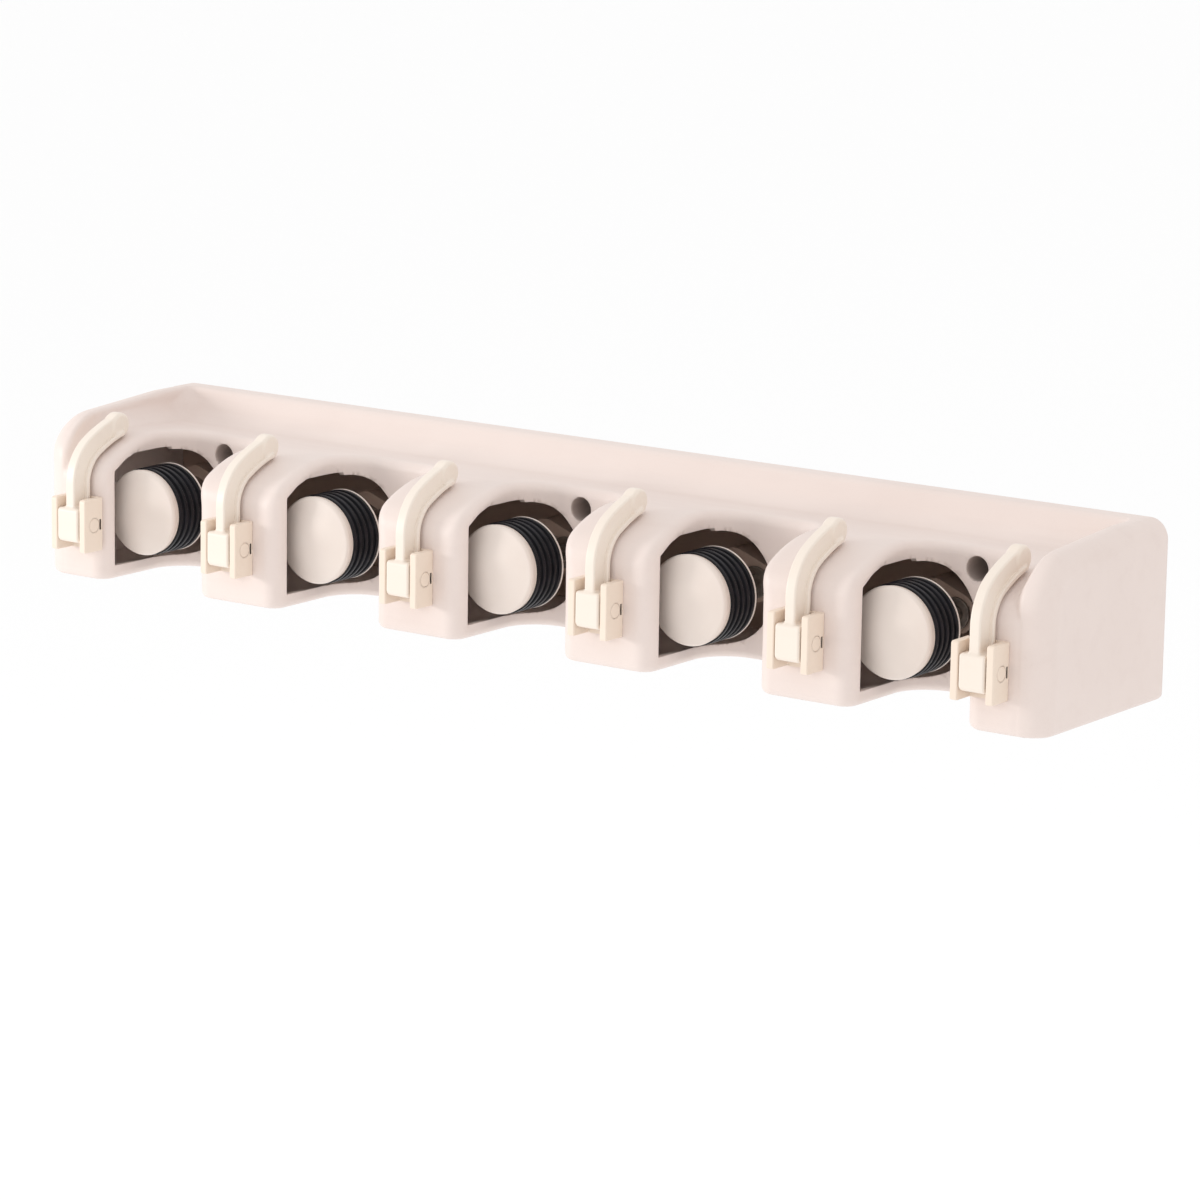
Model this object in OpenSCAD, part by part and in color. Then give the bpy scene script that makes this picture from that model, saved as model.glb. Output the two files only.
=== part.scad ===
// Wall rack with five gripping rollers and six folding hooks.
// X runs along the rack, Y into the wall, Z up. Lengths are in millimetres.
// The origin is the centre of the rear face, on the wall.
// Heights in the modules are measured from the underside and lowered together.

/* [Housing] */
// Overall length along the wall
rack_l = 416; // [412:1:430]
// Height of the rim at the wall
rack_h = 60; // [58:0.5:66]
// Width of an end pier, from the rack's end to its slot
end_w = 29; // [28:0.25:31]
// Width of a pier between two slots
pier_w = 37; // [35:0.5:39]
// Distance from the wall to the front of the piers
pier_d = 77; // [74:0.5:84]
// Depth of a slot from the pier front
slot_l = 41; // [39:0.5:43]
// Wall thickness of the moulding
wall = 2.5; // [2:0.1:3]
// Corner radius of the piers, seen from above
pier_r = 6; // [4:0.5:8]
// Radius of the inner slot corners
slot_r = 12; // [8:0.5:14]
// Corner radius at the two ends, seen from above
end_r = 12; // [6:0.5:14]
// Radius along the lower front edge
foot_r = 2.5; // [1:0.5:4]

/* [Top surface] */
// Height where the pier front starts to bend back
bend_z = 35; // [32:0.5:37]
// Radius of that bend
bend_r = 10; // [7:0.5:12]
// Slope of the pier top behind the bend
crown_deg = 30; // [26:1:33]
// Radius of the pier's arched top
crown_r = 50; // [46:1:54]
// Height of the deck in front of the rim
deck_z = 49; // [48.5:0.1:49.5]
// Slope of the deck towards the rim
deck_deg = 2.5; // [1.5:0.1:3]
// Radius of the cove between deck and rim
cove_r = 10; // [6:0.5:11]
// Slope of the rim's front band
rim_deg = 60; // [50:1:65]
// Flat width on top of the rim
rim_t = 6; // [5:0.5:7]
// Radius on the front edge of the rim
rim_r = 3; // [2:0.25:3.5]

/* [End cheeks] */
// Height of the rim above the cheeks
cheek_drop = 1; // [0.6:0.1:1.4]
// Thickness of a cheek along X
cheek_t = 11; // [10:0.5:12.5]
// Radius at the cheek's upper front
cheek_r = 16; // [12:0.5:18]
// Radius at the cheek's outer top
cheek_out_r = 7; // [4:0.5:8]
// Width of the slope at the cheek's inner top
cheek_in_x = 2; // [1:0.25:2.5]
// Height of that slope
cheek_in_z = 3; // [1:0.25:4]

/* [Windows] */
// Height of the sill under a roller window
sill_z = 5; // [4:0.25:6]
// Distance from the pier front to the window's front edge
window_front = 6; // [5:0.25:7]
// Height of the window's straight front edge
window_z = 39; // [37:0.25:40]
// Height of the window's upper edge
window_top = 44.3; // [43.8:0.1:45]
// Depth of the sloped part of the window's upper edge
window_run = 11; // [9:0.5:12]
// Radius of the round opening in the slot's back
eye_r = 19.3; // [18.5:0.1:19.5]
// Distance of its centre from the pier wall
eye_x = 1.7; // [1:0.1:3]

/* [Wall screws] */
// Height of the wall screws
screw_z = 42.5; // [41.5:0.25:43]
// Access hole for the screw head
screw_head_d = 8.2; // [7:0.1:9]
// Hole for the screw
screw_d = 4.5; // [3.5:0.1:5.5]
// Thickness of the seat under the screw head
screw_seat = 3; // [2:0.25:4]
// Outer diameter of the screw tube
tube_d = 12; // [11:0.25:12.5]

/* [Back plate] */
// Thickness of the back plate
plate_t = 3; // [2.5:0.25:4]
// Gap around the back plate
plate_gap = 0.2; // [0.1:0.05:0.4]
// Diameter of the pillars that carry the plate
pillar_d = 7; // [6:0.25:8]
// Pilot hole in a pillar
pilot_d = 2.6; // [2:0.1:3]
// Depth of the pilot hole
pilot_l = 14; // [10:0.5:18]
// Head diameter of the plate screws
head_d = 5.6; // [5:0.1:6]
// Head height of the plate screws
head_h = 1.4; // [1:0.1:1.8]

/* [Rollers] */
// Roller centre from the middle of its pier, at rest
roller_x = 25; // [24.5:0.1:25.5]
// Roller centre height at rest
roller_z = 24; // [23.5:0.1:24.2]
// Slope of the roller track
track_deg = 22; // [15:0.5:23]
// Travel of the roller along its track
travel = 9.5; // [6:0.25:9.75]
// Radius of the front cap
cap_r = 15.4; // [14.5:0.1:15.6]
// Height of the cap's dome
dome_h = 1.8; // [1:0.1:2.4]
// Distance from the pier front back to the cap's front edge
cap_set = 14; // [12:0.25:15]
// Thickness of the cap at its edge
cap_t = 3.4; // [3:0.1:4.5]
// Radius over the tyre's ribs
tyre_r = 15.7; // [15:0.1:15.8]
// Depth of the grooves in the tyre
groove = 0.9; // [0.5:0.1:1.5]
// Length of the tyre
tyre_l = 11.8; // [10:0.1:13]
// Radius of the rear flange
flange_r = 15.8; // [15:0.1:15.9]
// Thickness of the rear flange
flange_t = 0.9; // [0.7:0.1:1.5]
// Diameter of the axle
axle_d = 6; // [5:0.25:7]
// Radial clearance of the running fits
run_gap = 0.05; // [0.02:0.01:0.1]
// Length of the track guide in front of the plate
guide_l = 21; // [16:0.5:22]

/* [Hooks] */
// Shift of the two end hooks towards the middle
end_shift = 9.9; // [8:0.1:10]
// Half width over the bracket's ears
ear_x = 7.9; // [7.4:0.1:8.2]
// Thickness of an ear
ear_t = 2.7; // [2.2:0.1:3]
// Height of the bracket's lower edge
ear_z = 11.4; // [10:0.2:13]
// Height of the bracket
ear_h = 19.1; // [18:0.1:20]
// Distance from the pier front to the ears' front
ear_d = 9.6; // [9:0.1:10.5]
// Thickness of the bracket's web on the pier
web_t = 1; // [0.8:0.1:1.2]
// Diameter of the hook pin
pin_d = 5; // [4:0.1:5.4]
// Distance from the pier front to the pin
pin_y = 4.4; // [4.2:0.1:4.8]
// Width of the hook's stem
stem_w = 3.5; // [3:0.1:4.5]
// Width of the flange behind the stem
rail_w = 6.2; // [5.6:0.1:7]
// Thickness of that flange
rail_t = 1.5; // [1:0.1:2]
// Gap between the hook and the pier
hook_gap = 1.4; // [1.3:0.1:2]
// Depth of the hook from its rear face to its front
hook_d = 7.2; // [6:0.1:8]
// Width of the hook's round tip
tip_w = 5.2; // [4.6:0.1:6]
// Angle on the pier's arch where the hook ends
tip_deg = 14; // [11:0.5:18]

/* [Hidden] */
$fn = 48;
slot_n = 5;
cut = 1;
lap = 0.05;
seat_gap = 0.02;
side_gap = 0.5;
rest_gap = 0.4;
half_l = rack_l / 2;
pitch = (rack_l - 2 * end_w + pier_w) / slot_n;
slot_w = pitch - pier_w;
slot_d = pier_d - slot_l;
bend_c = [-pier_d + bend_r, bend_z];
crown_c = bend_c + (crown_r - bend_r) * [sin(crown_deg), -cos(crown_deg)];
crown_over = 16;
easing = 0.2;
rim_c = [-rim_t, rack_h - rim_r];
rim_p = rim_c + rim_r * [-sin(rim_deg), cos(rim_deg)];
cove_run = (deck_z + cove_r * (1 - cos(rim_deg)) - rim_p[1]) / sin(rim_deg);
cove_c = [rim_p[0] - cove_r * sin(rim_deg) + cove_run * cos(rim_deg), deck_z + cove_r];
deck_front = deck_z + (cove_c[0] - crown_c[0]) * tan(deck_deg);
cove_p = cove_c + cove_r * [sin(rim_deg), -cos(rim_deg)];
rim_core = rim_t;
cheek_z = rack_h - cheek_drop;
window_share = 0.65;
pillar_x = 11;
pillar_low = 9;
pillar_high = 39.5;
pin_p = [-pier_d - pin_y, ear_z + ear_h / 2];
block_front = 5.6;
block_rear = 3.8;
block_low = 6.3;
block_high = 6;
block_r = 3;
gap_x = ear_x - ear_t;
block_x = gap_x - side_gap;
pocket_z = 1.1;
ear_r = 2;
tip_rise = 0.4;
peg_r = 1;
peg_l = 2.8;
peg_set = 0.4;
slit = [1.3, 4.2];
slit_y = 1.05;
core_r = 10;
spigot_r = 8;
cap_edge = 1.4;
rib_n = 9;
cap_d = pier_d - cap_set;
tyre_d = cap_d - cap_t;
flange_d = tyre_d - tyre_l;
roller_back = flange_d - flange_t;
axle_cover = 1.2;
axle_front = cap_d - axle_cover;
axle_rear = 0.6;
axle_head_r = 5;
axle_head_t = 1.7;
head_gap = 0.4;
recess_gap = 0.3;
recess_t = axle_rear + axle_head_t + recess_gap;
guide_d = plate_t + guide_l;
guide_wall = 1.6;
guide_r = axle_head_r + head_gap + guide_wall;
clip_r = 5.5;
clip_t = 1.2;
clip_gap = 0.3;
collar_r = 4.6;
collar_t = 1.4;
bead_rise = 0.4;
bead_r = axle_d / 2 + bead_rise;
bead_t = 1;
bead_set = 6;
bead_d = cap_d - bead_set;

function pier_x(i) = (i - (slot_n + 2) / 2) * pitch;
function slot_x(i) = (i - (slot_n + 1) / 2) * pitch;
function hook_x(i) = pier_x(i) + (i == 1 ? end_shift : i == slot_n + 1 ? -end_shift : 0);

// Lowers a part drawn from the underside so that the origin is mid height.
module hang() {
    translate([0, 0, -rack_h / 2]) children();
}

// Extrudes an outline drawn in Y and Z along X.
module along_x(x0, x1) {
    translate([x0, 0, 0]) rotate([90, 0, 90]) linear_extrude(x1 - x0) children();
}

// Extrudes an outline drawn in X and Z out from the wall.
module outward(d0, d1) {
    translate([0, -d0, 0]) rotate([90, 0, 0]) linear_extrude(d1 - d0) children();
}

// Round bar standing out from the wall.
module bar(x, z, d0, d1, r) {
    translate([x, -d0, z]) rotate([90, 0, 0]) cylinder(h = d1 - d0, r = r);
}

// Round bar along X, centred on the given place.
module cross_bar(x, p, half, r) {
    translate([x - half, p[0], p[1]]) rotate([0, 90, 0]) cylinder(h = 2 * half, r = r);
}

// Sector used to keep one part of a ring.
module sector(a0, a1, reach) {
    polygon([[0, 0], reach * [cos(a0), sin(a0)], reach * [cos((a0 + a1) / 2), sin((a0 + a1) / 2)],
        reach * [cos(a1), sin(a1)]]);
}

// Plan of a block with two round front corners.
module block_plan(x0, x1, front, r0, r1) {
    polygon([[x0, 0], [x0, r0 - front], [x0 + r0, r0 - front], [x0 + r0, -front], [x1 - r1, -front],
        [x1 - r1, r1 - front], [x1, r1 - front], [x1, 0]]);
    translate([x0 + r0, r0 - front]) disc_part(r0, 180, 270);
    translate([x1 - r1, r1 - front]) disc_part(r1, 270, 360);
}

// Plan of the housing, or of its hollow when an inset is given.
module plan(inset, rear) {
    translate([-half_l + inset, -slot_d + inset]) square([rack_l - 2 * inset, slot_d - inset + rear]);
    for (i = [2:slot_n]) {
        x = pier_x(i);
        half = pier_w / 2 - inset;
        block_plan(x - half, x + half, pier_d - inset, pier_r - inset, pier_r - inset);
    }
    x0 = pier_x(1) + pier_w / 2 - inset;
    x1 = pier_x(slot_n + 1) - pier_w / 2 + inset;
    block_plan(-half_l + inset, x0, pier_d - inset, end_r - inset, pier_r - inset);
    block_plan(x1, half_l - inset, pier_d - inset, pier_r - inset, end_r - inset);
    for (i = [1:slot_n]) {
        for (s = [-1, 1]) {
            translate([slot_x(i), -slot_d]) mirror([s < 0 ? 1 : 0, 0]) inner_corner(inset);
        }
    }
}

// Filled corner at one side of a slot.
module inner_corner(inset) {
    far = slot_r + inset;
    centre = [slot_w / 2 - slot_r, -slot_r];
    difference() {
        translate(centre) square([far + lap, far + lap]);
        translate(centre) circle(far);
    }
}

// Front bend and arched top of the piers, seen from the end.
module nose(inset) {
    low = inset > 0 ? inset : foot_r;
    translate([-pier_d + inset, low]) square([pier_d - inset, bend_z - low]);
    if (inset == 0) {
        translate([-pier_d + foot_r, 0]) square([pier_d - foot_r, foot_r]);
        translate([-pier_d + foot_r, foot_r]) disc_part(foot_r, 180, 270);
    }
    translate(bend_c) disc_part(bend_r - inset, 90 + crown_deg, 180);
    translate(crown_c) disc_part(crown_r - inset, 90 - crown_over, 90 + crown_deg);
}

// Part of a disc between two angles.
module disc_part(r, a0, a1) {
    intersection() {
        circle(r);
        sector(a0, a1, 2 * r);
    }
}

// End view of the housing's outside.
module skin() {
    nose(0);
    difference() {
        polygon([[crown_c[0], bend_z], [0, bend_z], [0, rack_h], rim_c + [0, rim_r], rim_c, rim_p, cove_p,
            [cove_c[0], deck_z], [crown_c[0], deck_front]]);
        translate(cove_c) circle(cove_r - easing);
    }
    translate(rim_c) disc_part(rim_r, 90, 90 + rim_deg);
}

// End view of the hollow, open at the wall.
module core() {
    nose(wall);
    polygon([[crown_c[0], bend_z], [0, bend_z], [0, wall], [cut, wall], [cut, rack_h - wall],
        [-rim_core, rack_h - wall], [-rim_core, deck_z - wall], [cove_c[0], deck_z - wall],
        [crown_c[0], deck_front - wall]]);
}

// End view of a cheek.
module cheek_side() {
    z1 = cheek_z - cheek_r;
    translate([-pier_d + cheek_r, z1]) square([pier_d - cheek_r, cheek_r]);
    translate([-pier_d, foot_r]) square([pier_d, z1 - foot_r]);
    translate([-pier_d + foot_r, 0]) square([pier_d - foot_r, foot_r]);
    translate([-pier_d + foot_r, foot_r]) disc_part(foot_r, 180, 270);
    translate([-pier_d + cheek_r, z1]) disc_part(cheek_r, 90, 180);
}

// Front view of a cheek, with a sloped inner edge on top.
module cheek_front() {
    x0 = half_l - cheek_t;
    z1 = cheek_z - cheek_in_z;
    polygon([[x0, 0], [half_l, 0], [half_l, cheek_z], [x0 + cheek_in_x, cheek_z], [x0, z1]]);
}

// Front view of the whole outline or of the rear opening, with round upper corners.
module front_outline(inset) {
    r = cheek_out_r - inset;
    z1 = rack_h - cheek_out_r;
    translate([-half_l + inset, inset]) square([rack_l - 2 * inset, z1 - inset]);
    translate([-half_l + cheek_out_r, z1]) square([rack_l - 2 * cheek_out_r, r]);
    translate([half_l - cheek_out_r, z1]) disc_part(r, 0, 90);
    translate([-half_l + cheek_out_r, z1]) disc_part(r, 90, 180);
}

// Outline of a roller window in the side of a pier.
module window_side() {
    y0 = -pier_d + window_front;
    y1 = -slot_d - slot_r / 2;
    polygon([[y0, sill_z], [y1, sill_z], [y1, window_top], [y0 + window_run, window_top],
        [y0 + window_run / 2, window_z + (window_top - window_z) * window_share], [y0, window_z]]);
}

// Places of the screws that hold the back plate, as X and height.
function plate_screw_places() = concat(
    [for (i = [1:slot_n]) [slot_x(i) + pillar_x, pillar_low]],
    [for (i = [2:2:slot_n]) [slot_x(i) + pillar_x, pillar_high]]);

// One-piece moulded housing.
module housing() {
    color("#e6d9cf") hang() difference() {
        union() {
            difference() {
                housing_solid();
                housing_hollow();
            }
            housing_bosses();
        }
        housing_holes();
    }
}

module housing_solid() {
    intersection() {
        union() {
            intersection() {
                linear_extrude(rack_h) plan(0, 0);
                along_x(-half_l, half_l) skin();
            }
            for (s = [0, 1]) {
                mirror([s, 0, 0]) cheek();
            }
        }
        outward(0, pier_d) front_outline(0);
    }
}

module cheek() {
    intersection() {
        linear_extrude(rack_h) plan(0, 0);
        along_x(half_l - cheek_t, half_l) cheek_side();
        outward(0, pier_d) cheek_front();
    }
}

module housing_hollow() {
    intersection() {
        linear_extrude(rack_h) plan(wall, cut);
        along_x(-half_l, half_l) core();
        outward(-cut, pier_d) front_outline(wall);
    }
}

module housing_bosses() {
    for (i = [1:2:slot_n]) {
        bar(slot_x(i), screw_z, 0, slot_d - wall + lap, tube_d / 2);
    }
    for (p = plate_screw_places()) {
        bar(p[0], p[1], plate_t, slot_d - wall + lap, pillar_d / 2);
    }
}

module housing_holes() {
    for (i = [1:slot_n]) {
        x = pier_x(i) + pier_w / 2;
        along_x(x - wall - cut, x + cut) window_side();
        bar(x + eye_x, roller_z, slot_d - wall - cut, slot_d + slot_r + cut, eye_r);
    }
    for (i = [1:2:slot_n]) {
        bar(slot_x(i), screw_z, screw_seat, slot_d + cut, screw_head_d / 2);
        bar(slot_x(i), screw_z, -cut, slot_d, screw_d / 2);
    }
    for (p = plate_screw_places()) {
        bar(p[0], p[1], plate_t - cut, plate_t + pilot_l, pilot_d / 2);
    }
    for (i = [1:slot_n + 1]) {
        translate([hook_x(i) - gap_x, -pier_d - cut, pin_p[1] - block_low - pocket_z]) pocket_block();
        for (z = peg_places()) {
            bar(hook_x(i), z, pier_d - wall - cut, pier_d + cut, peg_r + seat_gap);
        }
    }
}

// Space for the swing of a hook's heel.
module pocket_block() {
    cube([2 * gap_x, wall + 2 * cut, block_low + block_high + 2 * pocket_z]);
}

function peg_places() = [(ear_z + pin_p[1] - block_low - pocket_z) / 2, ear_z + ear_h - peg_r - peg_set];

// Back plate with the five roller tracks.
module back_plate() {
    color("#54443c") hang() difference() {
        union() {
            outward(0, plate_t) front_outline(wall + plate_gap);
            for (i = [1:slot_n]) {
                track(i, plate_t - lap, guide_d, guide_r);
            }
        }
        for (i = [1:slot_n]) {
            track(i, -cut, guide_d + cut, axle_d / 2 + run_gap);
            track(i, -cut, recess_t, axle_head_r + head_gap);
        }
        for (i = [1:2:slot_n]) {
            bar(slot_x(i), screw_z, -cut, plate_t + cut, tube_d / 2 + plate_gap);
        }
        for (p = plate_screw_places()) {
            bar(p[0], p[1], -cut, plate_t + cut, pilot_d / 2 + plate_gap);
            bar(p[0], p[1], -cut, head_h + plate_gap, head_d / 2 + plate_gap);
        }
    }
}

// Long round-ended space or guide along one roller's track.
module track(i, d0, d1, r) {
    outward(d0, d1) translate([pier_x(i) + roller_x, roller_z]) rotate(180 - track_deg) {
        translate([0, -r]) square([travel, 2 * r]);
        disc_part(r, 90, 270);
        translate([travel, 0]) disc_part(r, -90, 90);
    }
}

// Self-tapping screws of the back plate.
module plate_screws() {
    color("#a9acb0") hang() {
        for (p = plate_screw_places()) {
            bar(p[0], p[1], plate_gap, plate_gap + head_h, head_d / 2);
            bar(p[0], p[1], plate_gap + head_h - lap, plate_t + pilot_l - cut, pilot_d / 2 - seat_gap);
        }
    }
}

// U-shaped bracket on the front of a pier.
module hook_bracket(i) {
    x = hook_x(i);
    half = gap_x + lap;
    color("#efdcc8") hang() difference() {
        union() {
            for (s = [-1, 1]) {
                mid = x + s * (ear_x - ear_t / 2);
                along_x(mid - ear_t / 2, mid + ear_t / 2) ear_side();
            }
            translate([x - half, -pier_d - web_t, ear_z]) cube([2 * half, web_t, ear_h]);
            for (z = peg_places()) {
                bar(x, z, pier_d - peg_l, pier_d + lap, peg_r);
            }
        }
        translate([x - gap_x, -pier_d - web_t - cut, pin_p[1] - block_low - pocket_z]) pocket_block();
        cross_bar(x, pin_p, ear_x + cut, pin_d / 2 + seat_gap);
        translate([x - ear_x - cut, -pier_d - slit_y - slit[0] / 2, pin_p[1] - slit[1] / 2]) slit_block();
    }
}

module slit_block() {
    cube([2 * (ear_x + cut), slit[0], slit[1]]);
}

// One ear, with two round front corners.
module ear_side() {
    translate([-pier_d - ear_d + ear_r, ear_z]) square([ear_d - ear_r, ear_h]);
    translate([-pier_d - ear_d, ear_z + ear_r]) square([ear_r + lap, ear_h - 2 * ear_r]);
    for (z = [ear_z + ear_r, ear_z + ear_h - ear_r]) {
        translate([-pier_d - ear_d + ear_r, z]) circle(ear_r);
    }
}

// Band at a set distance in front of the pier's outline.
module band(z0, near, far, end_deg) {
    translate([-pier_d - far, z0]) square([far - near, bend_z - z0 + lap]);
    translate(bend_c) intersection() {
        ring(bend_r + near, bend_r + far);
        sector(90 + crown_deg - lap, 180, 4 * bend_r);
    }
    translate(crown_c) intersection() {
        ring(crown_r + near, crown_r + far);
        sector(90 + end_deg, 90 + crown_deg + lap, 2 * crown_r);
    }
}

module ring(r0, r1) {
    difference() {
        circle(r1);
        circle(r0);
    }
}

// Folding hook: pivot block, ribbed stem and round tip.
module hook(i) {
    x = hook_x(i);
    mid = (hook_gap + hook_d + rest_gap) / 2 + tip_rise;
    tip = crown_c + (crown_r + mid) * [-sin(tip_deg), cos(tip_deg)];
    color("#f2e3d2") hang() difference() {
        union() {
            along_x(x - block_x, x + block_x) block_side();
            along_x(x - stem_w / 2, x + stem_w / 2) {
                band(pin_p[1] + block_high - block_r, hook_gap, hook_gap + hook_d, tip_deg);
            }
            along_x(x - tip_w / 2, x + tip_w / 2) {
                translate(tip) circle(mid - rest_gap);
            }
            along_x(x - rail_w / 2, x + rail_w / 2) {
                band(pin_p[1] + block_high - block_r, hook_gap, hook_gap + rail_t, tip_deg);
            }
        }
        cross_bar(x, pin_p, ear_x, pin_d / 2 + run_gap);
    }
}

// End view of the pivot block.
module block_side() {
    y0 = pin_p[0] - block_front;
    y1 = pin_p[0] + block_rear;
    z0 = pin_p[1] - block_low;
    z1 = pin_p[1] + block_high;
    translate([y0 + block_r, z0]) square([y1 - y0 - 2 * block_r, z1 - z0]);
    translate([y0, z0 + block_r]) square([y1 - y0, z1 - z0 - 2 * block_r]);
    for (y = [y0 + block_r, y1 - block_r]) {
        for (z = [z0 + block_r, z1 - block_r]) {
            translate([y, z]) circle(block_r);
        }
    }
}

// Pin pressed into the two ears.
module hook_pin(i) {
    color("#ecd9c6") hang() cross_bar(hook_x(i), pin_p, ear_x, pin_d / 2);
}

// Moves a turned part from its own axis to a roller's place.
module at_roller(i) {
    hang() translate([pier_x(i) + roller_x, 0, roller_z]) rotate([90, 0, 0]) children();
}

// Axle with a rear head that stays behind the track.
module roller_axle(i) {
    color("#b4b7ba") at_roller(i) {
        translate([0, 0, axle_rear]) cylinder(h = axle_front - axle_rear, r = axle_d / 2);
        translate([0, 0, axle_rear]) cylinder(h = axle_head_t, r = axle_head_r);
        translate([0, 0, roller_back - collar_t - clip_gap]) cylinder(h = collar_t, r = collar_r);
        translate([0, 0, bead_d]) cylinder(h = bead_t, r = bead_r);
    }
}

// Clip that keeps the axle in its track.
module axle_clip(i) {
    color("#8f9296") at_roller(i) difference() {
        translate([0, 0, guide_d + clip_gap]) cylinder(h = clip_t, r = clip_r);
        translate([0, 0, guide_d]) cylinder(h = clip_t + 2 * clip_gap, r = axle_d / 2 + seat_gap);
    }
}

// Hub with the domed front cap and the sleeve that carries the tyre.
module roller_hub(i) {
    bore_l = axle_front + run_gap - roller_back + cut;
    color("#ece7e1") at_roller(i) difference() {
        union() {
            rotate_extrude() cap_outline();
            translate([0, 0, flange_d]) cylinder(h = tyre_d - flange_d + lap, r = core_r);
            translate([0, 0, roller_back]) cylinder(h = flange_t + lap, r = spigot_r);
        }
        translate([0, 0, roller_back - cut]) cylinder(h = bore_l, r = axle_d / 2 + run_gap);
        translate([0, 0, bead_d - run_gap]) cylinder(h = bead_t + 2 * run_gap, r = bead_r + run_gap);
    }
}

// Half outline of the cap: flat rear, round edge, shallow dome.
module cap_outline() {
    flat_r = cap_r - cap_edge;
    ball = flat_r * flat_r / (2 * dome_h) + dome_h / 2;
    translate([0, tyre_d]) square([cap_r, cap_t - cap_edge]);
    translate([0, tyre_d]) square([flat_r, cap_t]);
    translate([flat_r, cap_d - cap_edge]) intersection() {
        circle(cap_edge);
        square([cap_edge, cap_edge]);
    }
    intersection() {
        translate([0, cap_d + dome_h - ball]) circle(ball, $fn = 4 * $fn);
        translate([0, cap_d - lap]) square([flat_r, dome_h + cut]);
    }
}

// Ribbed rubber sleeve.
module roller_tyre(i) {
    rib = tyre_l / rib_n;
    color("#2b2a33") at_roller(i) difference() {
        translate([0, 0, flange_d]) cylinder(h = tyre_l, r = tyre_r);
        translate([0, 0, flange_d - cut]) cylinder(h = tyre_l + 2 * cut, r = core_r + seat_gap);
        for (k = [1:2:rib_n - 2]) {
            translate([0, 0, flange_d + k * rib]) tyre_groove(rib);
        }
    }
}

module tyre_groove(rib) {
    difference() {
        cylinder(h = rib, r = tyre_r + cut);
        translate([0, 0, -cut]) cylinder(h = rib + 2 * cut, r = tyre_r - groove);
    }
}

// Rear flange pressed on the end of the hub.
module roller_flange(i) {
    color("#e9e4de") at_roller(i) difference() {
        translate([0, 0, roller_back]) cylinder(h = flange_t, r = flange_r);
        translate([0, 0, roller_back - cut]) cylinder(h = flange_t + 2 * cut, r = spigot_r + seat_gap);
    }
}

housing();
back_plate();
plate_screws();
hook_bracket(1);  // hook_bracket_1
hook_bracket(2);  // hook_bracket_2
hook_bracket(3);  // hook_bracket_3
hook_bracket(4);  // hook_bracket_4
hook_bracket(5);  // hook_bracket_5
hook_bracket(6);  // hook_bracket_6
hook(1);  // hook_1
hook(2);  // hook_2
hook(3);  // hook_3
hook(4);  // hook_4
hook(5);  // hook_5
hook(6);  // hook_6
hook_pin(1);  // hook_pin_1
hook_pin(2);  // hook_pin_2
hook_pin(3);  // hook_pin_3
hook_pin(4);  // hook_pin_4
hook_pin(5);  // hook_pin_5
hook_pin(6);  // hook_pin_6
roller_axle(1);  // roller_axle_1
roller_axle(2);  // roller_axle_2
roller_axle(3);  // roller_axle_3
roller_axle(4);  // roller_axle_4
roller_axle(5);  // roller_axle_5
axle_clip(1);  // axle_clip_1
axle_clip(2);  // axle_clip_2
axle_clip(3);  // axle_clip_3
axle_clip(4);  // axle_clip_4
axle_clip(5);  // axle_clip_5
roller_hub(1);  // roller_hub_1
roller_hub(2);  // roller_hub_2
roller_hub(3);  // roller_hub_3
roller_hub(4);  // roller_hub_4
roller_hub(5);  // roller_hub_5
roller_tyre(1);  // roller_tyre_1
roller_tyre(2);  // roller_tyre_2
roller_tyre(3);  // roller_tyre_3
roller_tyre(4);  // roller_tyre_4
roller_tyre(5);  // roller_tyre_5
roller_flange(1);  // roller_flange_1
roller_flange(2);  // roller_flange_2
roller_flange(3);  // roller_flange_3
roller_flange(4);  // roller_flange_4
roller_flange(5);  // roller_flange_5
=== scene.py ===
import math

import bpy
import numpy as np
from mathutils import Matrix


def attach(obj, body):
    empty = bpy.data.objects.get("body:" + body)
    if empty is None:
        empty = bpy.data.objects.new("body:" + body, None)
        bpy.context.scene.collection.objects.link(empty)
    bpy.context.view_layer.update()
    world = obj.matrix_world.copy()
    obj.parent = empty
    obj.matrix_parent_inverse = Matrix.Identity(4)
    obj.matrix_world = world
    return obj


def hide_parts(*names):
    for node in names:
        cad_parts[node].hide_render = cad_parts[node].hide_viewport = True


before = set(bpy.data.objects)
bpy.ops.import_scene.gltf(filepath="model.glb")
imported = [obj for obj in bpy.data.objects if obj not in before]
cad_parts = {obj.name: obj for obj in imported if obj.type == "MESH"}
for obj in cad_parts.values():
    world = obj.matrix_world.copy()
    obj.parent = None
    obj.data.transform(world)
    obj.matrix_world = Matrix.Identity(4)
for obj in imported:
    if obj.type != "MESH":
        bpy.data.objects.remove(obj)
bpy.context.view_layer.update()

# Housing: one pale beige moulding, hollow and open at the rear, with six piers, five slots,
# a rim along the rear edge and a cheek at each end. Every edge is left soft by the mould.
MM = 0.001
MID_HEIGHT = 30.0
HALF_LENGTH, RACK_HEIGHT, WALL = 208.0, 60.0, 2.5
PITCH, SLOT_HALF, SLOT_BACK, SLOT_CORNER = 79.0, 21.0, 36.0, 12.0
PIER_FRONT, FOOT_EDGE, REAR_EDGE, REAR_GAP = 77.0, 2.5, 0.7, 0.02
PIER_EDGE, PIER_EDGE_LOSS, PIER_EDGE_SPAN = 6.0, 2.6, (32.0, 44.0)
END_EDGE, END_EDGE_LOSS, END_EDGE_SPAN = 12.0, 5.0, (36.0, 52.0)
BEND_CENTRE, BEND_RADIUS = (-67.0, 35.0), 10.0
CROWN_CENTRE, CROWN_RADIUS = (-47.0, 0.359), 50.0
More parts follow.
